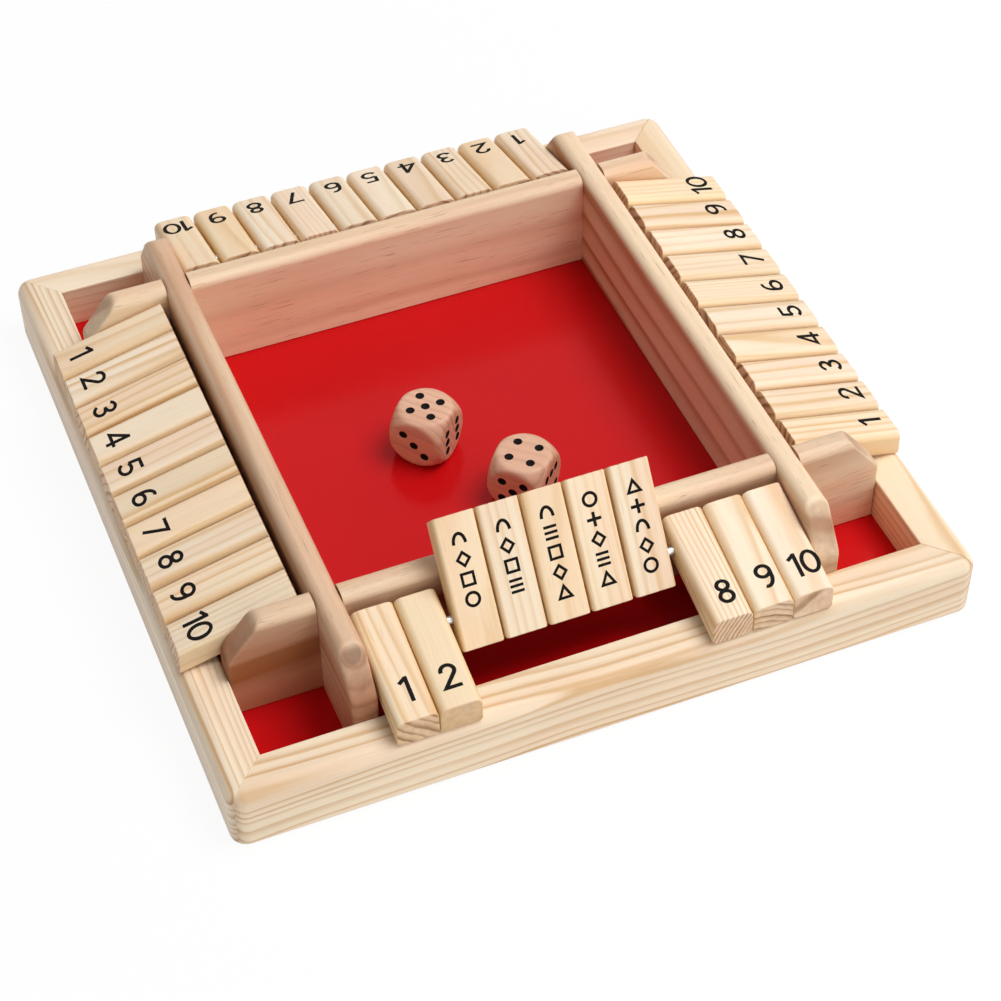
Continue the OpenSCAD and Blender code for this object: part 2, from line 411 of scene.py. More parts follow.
def pine(name, pale, pink, golden, autumn, flecks, cut, end_rings):
    """A pine material.

    pale, pink and golden are spring wood, autumn is the line that ends a year, and flecks is
    how dark the resin canals are. golden is also the colour of heartwood, and of the painted
    shade on the dividers and the painted bounce light on the tile sides. cut is the tint of
    sawn ends, and end_rings is how dark the rings are on them, where the middle of the trunk
    shows as a dark dot."""
    material, start = new_material(name)
    grain = start.stored("grain")
    year_width = start.stored("year", "Fac")
    wear = start.stored("wear", "Fac")
    end_grain = start.stored("end_grain", "Fac")
    tone, gold, ring_strength = start.stored("look").parts()
    _, across, up = grain.parts()

    sway = (grain.noise((0.008, 0.035, 0.035), 3.1, 1.0) - 0.5) * 7.0
    ripple = (grain.noise((0.03, 0.3, 0.3), 7.7) - 0.5) * 0.8
    reach = (across * across + up * up) ** 0.5
    radius = reach + sway + ripple
    years = radius / year_width
    drift = start.node("TexNoise", {"noise_dimensions": "1D"}, {"W": years * 0.5, "Scale": 1.0})
    years = years + (drift - 0.5) * 0.8
    season = years.math("FRACT", years)
    this_year = years.math("FLOOR", years)
    luck = start.node("TexWhiteNoise", {"noise_dimensions": "1D"}, {"W": this_year})
    late = season.node("ValToRGB", {"stops": YEAR_FADE}, {0: season})
    faint = grain.noise((0.012, 0.12, 0.12), 8.8).between(0.25, 0.6)
    ring = late * (luck * 0.5 + 0.5) * (faint * 0.45 + 0.55)

    fibre = grain.noise((0.03, 2.4, 2.4), 1.3, 4.0, 0.6)
    cloud = grain.noise((0.008, 0.06, 0.06), 5.9)
    streak = grain.noise((0.012, 0.09, 0.09), 2.2)
    canal = grain.noise((0.11, 3.4, 3.4), 9.4, 0.0).between(0.72, 0.80)
    pores = grain.noise((1.6, 1.6, 1.6), 4.4)
    blotch = grain.noise((0.3, 0.45, 0.45), 6.1)

    wood = streak.between(0.38, 0.68).blend(pale, pink)
    # gold mixes in golden wood and heartwood, and also painted shade on the dividers and painted
    # bounce light on the long sides of the tiles
    wood = wood.toward(golden, gold)
    wood = wood.toward(autumn, ring * ring_strength)
    wood = wood.times(1.0 + (fibre - 0.5) * 0.18 + (cloud - 0.5) * 0.2 + tone + wear * 0.03)
    wood = wood.toward(RESIN, canal * (1.0 - end_grain) * flecks)
    ends = wood.toward(cut, 1.0, "MULTIPLY")
    ends = ends.times(1.0 + (blotch - 0.5) * 0.5)
    ends = ends.toward(END_LINES, ring * end_rings + pores * 0.06)
    ends = ends.toward(PITH, reach.between(*PITH_RIM) * 0.7)
    wood = wood.toward(ends, end_grain)

    roughness = 0.44 + (fibre - 0.5) * 0.16 + end_grain * 0.2 - wear * 0.05
    height = fibre * 0.5 + late * ring_strength * 0.35 + end_grain * pores * 1.2
    inputs = {"Base Color": wood, "Roughness": roughness, "Specular IOR Level": 0.3}
    finish_material(start, inputs, height, 0.12, 0.5)
    return material


rail_wood = pine(
    "rail pine", (0.90, 0.76, 0.58, 1), (0.88, 0.67, 0.49, 1), (0.85, 0.63, 0.36, 1),
    autumn=(0.62, 0.36, 0.15, 1), flecks=0.1, cut=(0.80, 0.70, 0.62, 1), end_rings=0.5,
)
divider_wood = pine(
    "divider pine", (0.87, 0.69, 0.48, 1), (0.84, 0.58, 0.39, 1), (0.60, 0.30, 0.17, 1),
    autumn=(0.42, 0.16, 0.06, 1), flecks=0.45, cut=(0.78, 0.71, 0.68, 1), end_rings=0.28,
)
tile_wood = pine(
    "tile pine", (0.90, 0.76, 0.59, 1), (0.90, 0.68, 0.51, 1), (0.86, 0.62, 0.32, 1),
    autumn=(0.70, 0.43, 0.19, 1), flecks=0.14, cut=(0.90, 0.80, 0.74, 1), end_rings=0.75,
)
die_pine = pine(
    "die wood", (0.80, 0.49, 0.34, 1), (0.77, 0.44, 0.30, 1), (0.72, 0.40, 0.26, 1),
    autumn=(0.52, 0.26, 0.15, 1), flecks=0.3, cut=(0.90, 0.84, 0.80, 1), end_rings=0.3,
)
print("woods:", [wood.name for wood in (rail_wood, divider_wood, tile_wood, die_pine)])

# %% [markdown]
# ## Red floor, board, steel and ink
#
# The floor of the tray is a thin red sheet, in which the dice show as a soft blur. Its shine
# is red too, which a tint on the reflection gives. Below it is a fibre board that only shows
# from underneath. Both are flat, so the solids stay and only get a finish. The rods are
# steel wire with fine scratches along them, and the grain just shows through black ink.

# %% Lining, board, rod and ink
def lining_recipe():
    """Smooth red sheet with a slight orange peel and rubbed places."""
    material, start = new_material("red lining")
    place = start.node("TexCoord", give="Object")
    peel = place.noise((900.0, 900.0, 900.0))
    rub = place.noise((28.0, 28.0, 28.0), 3.0, 4.0, 0.65)
    fine = place.noise((2600.0, 2600.0, 2600.0), 5.0, 0.0)
    red = rub.blend((0.53, 0.004, 0.006, 1), (0.60, 0.006, 0.009, 1))
    red = red.times(0.96 + fine * 0.08)
    roughness = 0.20 + (rub - 0.5) * 0.14 + (fine - 0.5) * 0.06
    inputs = {"Base Color": red, "Roughness": roughness, "Specular Tint": (1.0, 0.25, 0.25, 1)}
    inputs["Specular IOR Level"] = 0.35
    finish_material(start, inputs, peel, 0.02, 0.25)
    return material


def board_recipe():
    """Brown fibre board: matted fibres with darker specks."""
    material, start = new_material("fibre board")
    place = start.node("TexCoord", give="Object")
    mat = place.noise((700.0, 260.0, 700.0), 0.0, 5.0, 0.7)
    speck = place.noise((1500.0, 1500.0, 1500.0), 4.0, 0.0).between(0.66, 0.74)
    brown = mat.blend((0.34, 0.22, 0.13, 1), (0.52, 0.37, 0.24, 1))
    brown = brown.toward((0.16, 0.09, 0.05, 1), speck * 0.6)
    finish_material(start, {"Base Color": brown, "Roughness": 0.7 + mat * 0.2}, mat, 0.15, 0.4)
    return material


def steel_recipe():
    """Drawn steel wire, brushed along its length."""
    material, start = new_material("rod steel")
    grain = start.stored("grain")
    brush = grain.noise((0.15, 9.0, 9.0), 0.0, 3.0)
    dull = grain.noise((0.12, 0.3, 0.3), 6.0, 3.0)
    steel = dull.blend((0.44, 0.44, 0.46, 1), (0.60, 0.60, 0.61, 1))
    inputs = {"Base Color": steel, "Metallic": 1.0, "Roughness": 0.20 + brush * 0.2}
    finish_material(start, inputs, brush, 0.01, 0.3)
    return material


def ink_recipe():
    """Black printing ink, with the grain showing faintly through."""
    material, start = new_material("black ink")
    grain = start.stored("grain")
    fibre = grain.noise((0.06, 3.0, 3.0), 1.3, 3.0)
    black = fibre.blend((0.002, 0.002, 0.002, 1), (0.010, 0.008, 0.007, 1))
    inputs = {"Base Color": black, "Roughness": 0.55 + fibre * 0.2, "Specular IOR Level": 0.08}
    finish_material(start, inputs, fibre, 0.03, 0.4)
    return material


red_lining = lining_recipe()
fibre_board = board_recipe()
rod_steel = steel_recipe()
black_ink = ink_recipe()
for node, finish in (("lining", red_lining), ("base_board", fibre_board)):
    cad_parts[node].material_slots[0].material = finish
print("solids kept with a new finish: lining, base_board")

# %% [markdown]
# ## Rails
#
# Four rails make the frame. Each is one moulded stick, 13 mm wide and 21 mm high, with a
# wide rounding on its outer top edge and a groove inside that holds the base board. They
# meet in mitres, and the frame was sanded round its corners after gluing, so the rounding
# follows the corner instead of stopping at it.
#
# Straight cuts at 45 degrees would leave a sharp edge at every corner. Here the last rings
# of the loft turn round it: a point near the outside follows an arc, and a point further in
# just stops at the mitre. A hairline bevel round the end lets the joint show.

# %% Rail section and corner
RAIL_LOW, RAIL_HIGH = box_mm("rail_front")
OUTSIDE = -RAIL_LOW.y
RAIL_WIDE = RAIL_HIGH.y - RAIL_LOW.y
RAIL_TALL = RAIL_HIGH.z
CORNER = 5.0
RAIL_ROUND = 4.5
RAIL_CRISP = 0.5
RAIL_FOOT = 1.0
GROOVE = (2.0, 6.0, 4.0)
MITRE_GAP = 0.02
MITRE_LINE = 0.06
TURNS = range(0, 46, 9)


def rail_section():
    """The moulding's outline as (depth from the outer face, height)."""
    low, high, deep = GROOVE
    points = [(RAIL_WIDE, 0.0), (RAIL_WIDE, low), (RAIL_WIDE - deep, low)]
    points += [(RAIL_WIDE - deep, high), (RAIL_WIDE, high)]
    points += arc((RAIL_WIDE - RAIL_CRISP, RAIL_TALL - RAIL_CRISP), RAIL_CRISP, 0, 90, 3)
    points += arc((RAIL_ROUND, RAIL_TALL - RAIL_ROUND), RAIL_ROUND, 90, 180, 10)
    points += arc((RAIL_FOOT, RAIL_FOOT), RAIL_FOOT, 180, 270, 3)
    return points


def rail_ring(section, end, turn):
    """The section where the rail has turned this many degrees round its end."""
    angle = math.radians(turn)
    centre = OUTSIDE - CORNER
    ring = []
    for depth, height in section:
        x = y = OUTSIDE - depth
        if depth < CORNER:
            x = centre + (CORNER - depth) * math.sin(angle)
            y = centre + (CORNER - depth) * math.cos(angle)
        ring.append((end * (x - MITRE_GAP), -y, height))
    return ring


def rail_mesh(side):
    """One rail along X, at the front."""
    section = rail_section()
    straight = OUTSIDE - RAIL_WIDE - 1
    rings = [rail_ring(section, -1, turn) for turn in reversed(TURNS)]
    for x in (-straight, 0, straight):
        rings.append([(x, depth - OUTSIDE, height) for depth, height in section])
    rings += [rail_ring(section, 1, turn) for turn in TURNS]
    shape = loft(rings)
    bmesh.ops.remove_doubles(shape, verts=shape.verts, dist=0.002)
    bmesh.ops.dissolve_degenerate(shape, edges=shape.edges, dist=0.002)
    caps = [face for face in shape.faces if len(face.verts) > 12]
    rims = {edge for face in caps for edge in face.edges}
    seen = [edge for edge in rims if min(vert.co.z for vert in edge.verts) > GROOVE[1]]
    bmesh.ops.bevel(shape, geom=seen, offset=MITRE_LINE, segments=1, affect="EDGES")
    return to_mesh(shape, "rail " + side)


print("rail section", RAIL_WIDE, "x", RAIL_TALL, "mm,", len(rail_section()), "points")

# %% [markdown]
# Every rail came from its own plank. In the front one the rings run in long straight lines;
# the left one shows closer and stronger lines. A far pith gives straight lines, and a near
# one the arched figure of a flat-sawn face. Each row holds a rail's pith, look and lean.

# %% Four rails
RAIL_STOCK = {
    "front": ((40.0, -46.0), (2.3, 0.0, 0.1, 1.0), (0.9, 0.5)),
    "right": ((-10.0, -75.0), (2.6, 0.03, 0.3, 0.8), (-0.3, 0.25)),
    "back": ((25.0, -60.0), (3.0, 0.05, 0.0, 0.5), (0.4, -0.3)),
    "left": ((-48.0, 30.0), (1.9, 0.02, 0.0, 1.0), (0.6, 0.2)),
}
FAR = 1000.0
RAIL_MIDDLE = Matrix.Translation((0, RAIL_WIDE / 2 - OUTSIDE, RAIL_TALL / 2))
for side, (pith, look, lean) in RAIL_STOCK.items():
    mesh = rail_mesh(side)
    low = (-FAR, -OUTSIDE, 0.0)
    high = (FAR, RAIL_WIDE - OUTSIDE, RAIL_TALL)
    wear = edge_nearness(points_of(mesh), low, high, reach=0.9)
    mesh.transform(RAIL_MIDDLE.inverted())
    saw_from_trunk(mesh, pith, look, lean, wear)
    mesh.transform(RAIL_MIDDLE)
    place_piece(mesh, "rail_" + side, turn_to(side), [rail_wood])
print("rails from", len(RAIL_STOCK), "planks")

# %% [markdown]
# ## Dividers
#
# Four boards stand on edge on the floor and cross near the corners. Their top edges are
# rounded over, and both ends slope down in a nose that comes to rest just above the rail.
# Where two boards cross, each is sawn halfway through, the left and right ones from below
# and the front and back ones from above.
#
# A bevel tool would round the noses as well, but the real board had its top edges rounded
# first and its noses cut after, so the slanted ends are flat end grain with a nearly sharp
# rim. Level rings get this right: at each height the ring is as wide as the rounding leaves
# it and as long as the noses leave it. The lowest ring is drawn in by a hair, which gives
# the thin dark line where a board stands on the floor. Booleans then saw the notches and
# drill the seats for the rods.

# %% Divider body
def rounded_line(points, radius, steps):
    """A line with its inner corners turned into arcs."""
    smooth = [Vector(points[0])]
    for before, corner, after in zip(points, points[1:], points[2:]):
        corner = Vector(corner)
        way_in = (corner - Vector(before)).normalized()
        way_out = (Vector(after) - corner).normalized()
        turn = way_in.angle(way_out)
        start = corner - way_in * radius * math.tan(turn / 2)
        centre = start + Vector((-way_in.y, way_in.x)) * radius
        for k in range(steps + 1):
            smooth.append(centre + Matrix.Rotation(turn * k / steps, 2) @ (start - centre))
    smooth.append(Vector(points[-1]))
    return smooth


FLOOR_TOP = box_mm("lining")[1].z
DIVIDER_T = 7.8
INSIDE = OUTSIDE - RAIL_WIDE
NOSE_RUN = 10.5
NOSE_RISE = 7.0
NOSE_ROUND = 4.0
TOP_ROUND = 3.0
NOSE_ARRIS = 1.0
FOOT_ARRIS = 0.4
SLIVER = 0.02


def divider_body(top):
    """A divider along X, rounded and with its noses cut, before it is sawn."""
    low = RAIL_TALL + NOSE_RISE
    line = [(INSIDE, FLOOR_TOP), (INSIDE, low), (INSIDE - NOSE_RUN, top), (0, top)]
    line = rounded_line(line, NOSE_ROUND, 8)[:-1]
    heights = [point.y for point in line]
    heights += [top - TOP_ROUND * (1 - math.sin(math.radians(a))) for a in range(0, 90, 10)]
    heights.append(FLOOR_TOP + FOOT_ARRIS)
    rings = []
    for z in sorted(heights):
        x = float(np.interp(z, [point.y for point in line], [point.x for point in line]))
        over = max(0.0, z - top + TOP_ROUND)
        half = DIVIDER_T / 2 - TOP_ROUND + math.sqrt(TOP_ROUND ** 2 - over ** 2)
        half -= max(0.0, FLOOR_TOP + FOOT_ARRIS - z)
        arris = min(NOSE_ARRIS, half - SLIVER)
        corner = arc((x - arris, half - arris), arris, 0, 90, 5)
        right_end = [(a, -b) for a, b in reversed(corner)] + corner
        ring_points = right_end + [(-a, -b) for a, b in right_end]
        rings.append([(a, b, z) for a, b in ring_points])
    shape = loft(rings)
    bmesh.ops.remove_doubles(shape, verts=shape.verts, dist=0.001)
    return to_mesh(shape, "divider")


print("dividers are", DIVIDER_T, "mm thick and stand at", round(FLOOR_TOP, 2), "mm")

# %% Saw the notches and drill the seats
DIVIDER_AT = -sum(corner.y for corner in box_mm("divider_front")) / 2
ROD_LOW, ROD_HIGH = box_mm("rod_front")
ROD_AT = -(ROD_LOW.y + ROD_HIGH.y) / 2
ROD_Z = (ROD_LOW.z + ROD_HIGH.z) / 2
ROD_R = (ROD_HIGH.z - ROD_LOW.z) / 2
LAP_Z = 23.85
LAP_CLEAR = 0.1
SEAT_DEEP = 4.5
SEAT_CLEAR = 0.02
SAW_PAST = 5
TOOL_REACH = 10


def block(shape, low, high):
    """Adds a plain block to a cutter."""
    made = bmesh.ops.create_cube(shape, size=1.0)["verts"]
    low = Vector(low)
    high = Vector(high)
    for vert in made:
        vert.co = Vector(a + (0.5 + c) * (b - a) for a, b, c in zip(low, high, vert.co))


def divider_cutter(low, high):
    """Two notches, and the drill holes where two rods end in this divider."""
    shape = bmesh.new()
    wide = DIVIDER_T / 2 + LAP_CLEAR
    for end in (-1, 1):
        at = end * DIVIDER_AT
        block(shape, (at - wide, -TOOL_REACH, low), (at + wide, TOOL_REACH, high))
        drill = lathe_x(ROD_R + SEAT_CLEAR, 0, TOOL_REACH)
        drill.transform(turned(90, "Z"))
        drill.transform(Matrix.Translation((end * ROD_AT, DIVIDER_T / 2 - SEAT_DEEP, ROD_Z)))
        shape.from_mesh(to_mesh(drill, "bit"))
    return to_mesh(shape, "saw and drill")


print("rods end", SEAT_DEEP, "mm deep in the dividers,", round(ROD_Z, 2), "mm up")

# %% [markdown]
# Towards one end of three boards a dark reddish brown comes in, most of it low down. It is
# partly the heartwood of the trunk and partly painted shade, for the shaded walls of the
# wells below the lit top edge. Each row says where along the board it begins, where it is
# full, how much there is, and how much clearer it makes the year lines.

# %% Four dividers
DIVIDER_STOCK = {
    "front": ((60.0, -145.0), (17.0, -0.02, 0.05, 0.45), (0.5, 4.0)),
    "right": ((40.0, -110.0), (11.0, 0.06, 0.1, 0.65), (-0.4, 0.9)),
    "back": ((-30.0, 74.0), (12.0, 0.06, 0.0, 0.35), (0.5, -0.7)),
    "left": ((0.2, 39.6), (4.5, -0.06, 0.15, 0.6), (0.2, 0.1)),
}
HEARTWOOD_AND_SHADE = {
    "front": (-30, -90, 1.15, 3.0),
    "right": (-60, 90, 0.4, 4.0),
    "back": (0, 1, 0, 0),
    "left": (80, 110, 1.2, 0.0),
}
HEART_SHADE_TOP = 1.0
HEART_SHADE_FADE = 5.0
HEART_SHADE_LEAST = 0.1
HEART_SHADE_DARK = 0.1


def with_heart_and_shade(side, look, places, top):
    """The look of a board, point by point, with its heartwood and painted shade, darker from just
    below the top edge down.
    """
    begins, full, amount, clearer = HEARTWOOD_AND_SHADE[side]
    # painted shade with the heartwood: darker and redder towards one end and below the top edge
    heart_and_shade = amount * np.clip((places[:, 0] - begins) / (full - begins), 0, 1)
    heart_and_shade *= np.clip((top - places[:, 2] - HEART_SHADE_TOP) / HEART_SHADE_FADE, HEART_SHADE_LEAST, 1)
    year, tone, gold, rings = look
    return year, tone - HEART_SHADE_DARK * heart_and_shade, gold + heart_and_shade, rings * (1 + clearer * heart_and_shade)


for side, (pith, look, lean) in DIVIDER_STOCK.items():
    node = "divider_" + side
    top = box_mm(node)[1].z
    notch = (LAP_Z - LAP_CLEAR / 2, top + SAW_PAST)
    if side in ("left", "right"):
        notch = (FLOOR_TOP - SAW_PAST, LAP_Z + LAP_CLEAR / 2)
    mesh = carve(divider_body(top), divider_cutter(*notch))
    places = points_of(mesh)
    low = (-INSIDE, -DIVIDER_T / 2, FLOOR_TOP)
    wear = edge_nearness(places, low, (INSIDE, DIVIDER_T / 2, top), reach=1.5)
    saw_from_trunk(mesh, pith, with_heart_and_shade(side, look, places, top), lean, wear)
    place = turn_to(side) @ Matrix.Translation((0, -DIVIDER_AT, 0))
    place_piece(mesh, node, place, [divider_wood])
    print("divider", side, "top", round(top, 2), "mm,", len(mesh.polygons), "faces")

# %% [markdown]
# ## Rods
#
# Each row of tiles hangs on one straight steel rod, 3 mm thick, pushed into blind holes in
# two dividers. Only slivers show between the tiles, but they catch the light, so the rod
# has a real round section with broken ends.

# %% Four rods
for side in SIDES:
    mesh = to_mesh(lathe_x(ROD_R, ROD_LOW.x, ROD_HIGH.x, chamfer=0.35, sides=48), "rod")
    write(mesh, "grain", points_of(mesh))
    place = turn_to(side) @ Matrix.Translation((0, -ROD_AT, ROD_Z))
    place_piece(mesh, "rod_" + side, place, [rod_steel])
print("rod", round(2 * ROD_R, 2), "mm thick,", round(ROD_HIGH.x - ROD_LOW.x, 1), "mm long")

# %% [markdown]
# ## Numbers drawn with a pen
#
# The digits are a plain round sans serif: every stroke has the same width, and the curves
# are circles. A font would bring shapes of its own, so they are drawn as a sign writer lays
# them out, as lines and arcs for a broad pen. Each stroke becomes a ribbon of four-sided
# patches. A Delaunay triangulation then merges all patches that overlap into one flat shape
# with clean holes, which is made as thick as a film of ink.

# %% Pen strokes
PEN = 0.136
SHARPEST = 0.4


def pen(path, width=PEN, closed=False):
    """The patches that a pen of this width covers along a path."""
    line = [Vector(point) for point in path]
    count = len(line)
    left, right = [], []
    for k, here in enumerate(line):
        ways = []
        if closed or k > 0:
            ways.append((here - line[k - 1]).normalized())
        if closed or k < count - 1:
            ways.append((line[(k + 1) % count] - here).normalized())
        lefts = [Vector((-way.y, way.x)) for way in ways]
        middle = sum(lefts, Vector((0, 0))).normalized()
        reach = middle * width / 2 / max(SHARPEST, middle.dot(lefts[0]))
        left.append(here + reach)
        right.append(here - reach)
    last = count if closed else count - 1
    patches = []
    for k in range(last):
        after = (k + 1) % count
        patches.append([right[k], right[after], left[after], left[k]])
    return patches


def oval(centre, across, up, start=0, end=360, steps=36):
    """Points on an oval arc, in degrees."""
    circle = arc((0, 0), 1, start, end, steps)
    return [(centre[0] + across * x, centre[1] + up * y) for x, y in circle]


def ring(centre, across, up, width=PEN):
    return pen(oval(centre, across, up)[:-1], width, closed=True)


def moved(patches, shift):
    return [[corner + Vector((shift, 0)) for corner in patch] for patch in patches]


print("patches in a ring:", len(ring((0, 0), 1, 1)))

# %% Ten numerals
EDGE = PEN / 2
TAIL = [(-0.225, 0.3), (-0.225, 0.46)] + oval((0.02, 0.5), 0.245, 0.425, 180, 72, 14)
DIGITS = {
    0: ring((0, 0.5), 0.255, 0.425),
    1: pen([(0.075, 0), (0.075, 1)]) + pen([(0.085, 0.95), (-0.17, 0.76)]),
    2: pen(oval((0, 0.71), 0.215, 0.215, 190, -32, 20) + [(-0.235, EDGE), (0.29, EDGE)]),
    3: pen(oval((0, 0.735), 0.19, 0.19, 165, -90, 22))
    + pen(oval((0, 0.29), 0.215, 0.215, 90, -165, 24)) + pen([(-0.08, 0.525), (0.03, 0.525)]),
    4: pen([(0.32, 0.27), (-0.27, 0.27), (0.13, 0.95)]) + pen([(0.13, 0), (0.13, 1)]),
    5: pen([(0.24, 1 - EDGE), (-0.155, 1 - EDGE), (-0.19, 0.49)])
    + pen(oval((0, 0.31), 0.235, 0.235, 138, -158, 26)),
    6: ring((0, 0.3), 0.225, 0.225) + pen(TAIL),
    7: pen([(-0.27, 1 - EDGE), (0.25, 1 - EDGE), (-0.07, 0)]),
    8: ring((0, 0.74), 0.185, 0.185) + ring((0, 0.29), 0.215, 0.215),
}
DIGITS[9] = [[Vector((-corner.x, 1 - corner.y)) for corner in patch] for patch in DIGITS[6]]


def numeral(number):
    """The strokes of a tile's number: 1 unit high, standing on the line."""
    if number < 10:
        return DIGITS[number]
    return moved(DIGITS[1], -0.30) + moved(DIGITS[0], 0.22)


print("numerals:", sorted(DIGITS))

# %% [markdown]
# The other side of every tile carries a small printed column. Here it is made of plain
# signs, such as a ring, a cross or a triangle, drawn with a pen too, and each tile gets its
# own order of them.

# %% Plain signs
LINES = (-0.34, 0.0, 0.34)
SIGNS = {
    "ring": ring((0, 0), 0.39, 0.39, 0.18),
    "cross": pen([(-0.38, -0.38), (0.38, 0.38)], 0.19)
    + pen([(-0.38, 0.38), (0.38, -0.38)], 0.19),
    "plus": pen([(-0.44, 0), (0.44, 0)], 0.19) + pen([(0, -0.44), (0, 0.44)], 0.19),
    "triangle": pen([(-0.38, -0.33), (0.38, -0.33), (0, 0.36)], 0.17, True),
    "diamond": pen([(-0.37, 0), (0, -0.4), (0.37, 0), (0, 0.4)], 0.17, True),
    "square": pen([(-0.35, -0.35), (0.35, -0.35), (0.35, 0.35), (-0.35, 0.35)], 0.17, True),
    "bars": [patch for y in LINES for patch in pen([(-0.4, y), (0.4, y)], 0.17)],
    "arch": pen(oval((0, -0.3), 0.36, 0.62, 180, 0, 16), 0.19),
}
SIGN_PITCH = 5.9
SIGN_SIZE = 4.9


def sign_column(count):
    """A column of different signs, read from the tile's outer end."""
    patches = []
    for place, name in enumerate(chance.sample(sorted(SIGNS), count)):
        middle = Vector((0, -SIGN_PITCH * (place + 0.5)))
        for patch in SIGNS[name]:
            patches.append([middle + corner * SIGN_SIZE for corner in patch])
    return patches


print("signs:", sorted(SIGNS))

# %% Merge the patches and thicken them
INK_UP = 0.02
INK_DOWN = 0.05
INSIDE_ONLY = 1
CLOSE = 1e-4


def ink(patches, place):
    """Merges the patches into a thin layer of ink in the given place."""
    corners = [corner for patch in patches for corner in patch]
    faces = [list(range(4 * k, 4 * k + 4)) for k in range(len(patches))]
    flat = delaunay_2d_cdt(corners, [], faces, INSIDE_ONLY, CLOSE)
    points, triangles, sources = flat[0], flat[2], flat[5]
    shape = bmesh.new()
    verts = [shape.verts.new((point.x, point.y, -INK_DOWN)) for point in points]
    for triangle, source in zip(triangles, sources):
        if source:
            shape.faces.new([verts[k] for k in triangle])
    loose = [vert for vert in shape.verts if not vert.link_faces]
    bmesh.ops.delete(shape, geom=loose, context="VERTS")
    bmesh.ops.dissolve_limit(shape, angle_limit=0.01, verts=shape.verts, edges=shape.edges)
    pulled = bmesh.ops.extrude_face_region(shape, geom=list(shape.faces), use_keep_orig=True)
    for item in pulled["geom"]:
        if isinstance(item, bmesh.types.BMVert):
            item.co.z = INK_UP
    shape.transform(place)
    return to_mesh(shape, "ink")


test = ink(numeral(8), Matrix.Identity(4))
print("the numeral 8 has", len(test.polygons), "faces of ink")

# %% [markdown]
# ## Tiles
#
# A tile is a stick of pine 12.5 mm wide and 8.8 mm thick, with a hole across it near its
# inner end. The long edges are rounded, more on the numbered side than on the back. The
# outer end is sawn at a slant, and both ends have only a broken arris.
#
# All forty are cut from one blank, which is lofted and drilled once. Each copy then gets
# its own place in the trunk and its own ink. The solids tell where it hangs on the rod,
# and the way their broad faces look tells how far it is tipped.

# %% Tile blank
TILE_W = box_mm("tile_back_5")[1].x - box_mm("tile_back_5")[0].x
TILE_T = 8.8
TILE_IN = 9.2
TILE_OUT = 30.0
SLANT = 2.4
FACE_ROUND = 2.4
BACK_ROUND = 1.2
ARRIS = 0.4
BORE_CLEAR = 0.05
BORE_REACH = 20
TILE_CORNERS = (
    (1, 1, 0, FACE_ROUND), (-1, 1, 90, FACE_ROUND),
    (-1, -1, 180, BACK_ROUND), (1, -1, 270, BACK_ROUND),
)


def tile_ring(inset, y, slant=0.0):
    """The tile's section at y, drawn in by an inset, and with a slant towards its face."""
    ring_points = []
    for side, up, start, radius in TILE_CORNERS:
        centre = (side * (TILE_W / 2 - radius), up * (TILE_T / 2 - radius))
        ring_points += arc(centre, radius - inset, start, start + 90, 6)
    return [(x, y + slant * (z / TILE_T + 0.5), z) for x, z in ring_points]


def tile_blank():
    """One drilled tile, hinge axis at the origin, numbered side up, outer end towards -Y."""
    inner, outer = [], []
    for angle in (0, 30, 60, 90):
        inset = ARRIS * (1 - math.cos(math.radians(angle)))
        back = ARRIS * (1 - math.sin(math.radians(angle)))
        inner.append(tile_ring(inset, TILE_IN - back))
        outer.append(tile_ring(inset, back - TILE_OUT, SLANT))
    bore = to_mesh(lathe_x(ROD_R + BORE_CLEAR, -BORE_REACH, BORE_REACH), "bore")
    return carve(to_mesh(loft(inner[::-1] + outer), "blank"), bore)


BLANK = tile_blank()
print("tile", round(TILE_W, 2), "x", TILE_T, "mm,", len(BLANK.polygons), "faces")

# %% [markdown]
# Each row was printed in its own pass, so its numbers sit higher or lower than the next
# row's, and every print slips a little.

# %% Print a tile
DIGIT_SIZE = Matrix.Diagonal((9.1, 7.9, 1, 1))
NUMBER_UP = {"front": 5.4, "right": 3.5, "back": 3.6, "left": 4.3}
COLUMN_START = 4.4
BACK_PRINT = Matrix.Translation((0, COLUMN_START - TILE_OUT, -TILE_T / 2)) @ turned(180, "X")


def printed_tile(name, number, number_up, slip):
    """A copy of the blank with its number and, on the other side, a column of signs."""
    shape = bmesh.new()
    shape.from_mesh(BLANK)
    wooden = len(shape.faces)
    foot = SLANT - TILE_OUT + number_up + slip[1]
    printed = Matrix.Translation((slip[0], foot, TILE_T / 2)) @ DIGIT_SIZE
    shape.from_mesh(ink(numeral(number), printed))
    shape.from_mesh(ink(sign_column(chance.choice((4, 5))), BACK_PRINT))
    for face in list(shape.faces)[wooden:]:
        face.material_index = 1
    return to_mesh(shape, name, turn_out=False)


def tipped(node, side, flipped):
    """How many degrees a tile is tipped, from the widest flat of its solid."""
    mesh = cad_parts[node].data
    best = max(mesh.polygons, key=lambda face: face.area)
    look = turn_to(side).to_3x3().transposed() @ best.normal
    if (look.z < 0) != flipped:
        look = -look
    return math.degrees(math.atan2(-look.y, look.z))


print("tile_front_1 is tipped", round(tipped("tile_front_1", "front", False), 1))

# %% [markdown]
# Each tile is sawn near or far from the trunk's middle, at a chance angle. The few whose
# ends show best are listed one by one: steep lines on one end, nearly level ones on the next,
# a single curve on another. Their long sides get painted bounce light: they are made more
# golden than their faces, as warm light thrown between neighbouring tiles would make them.

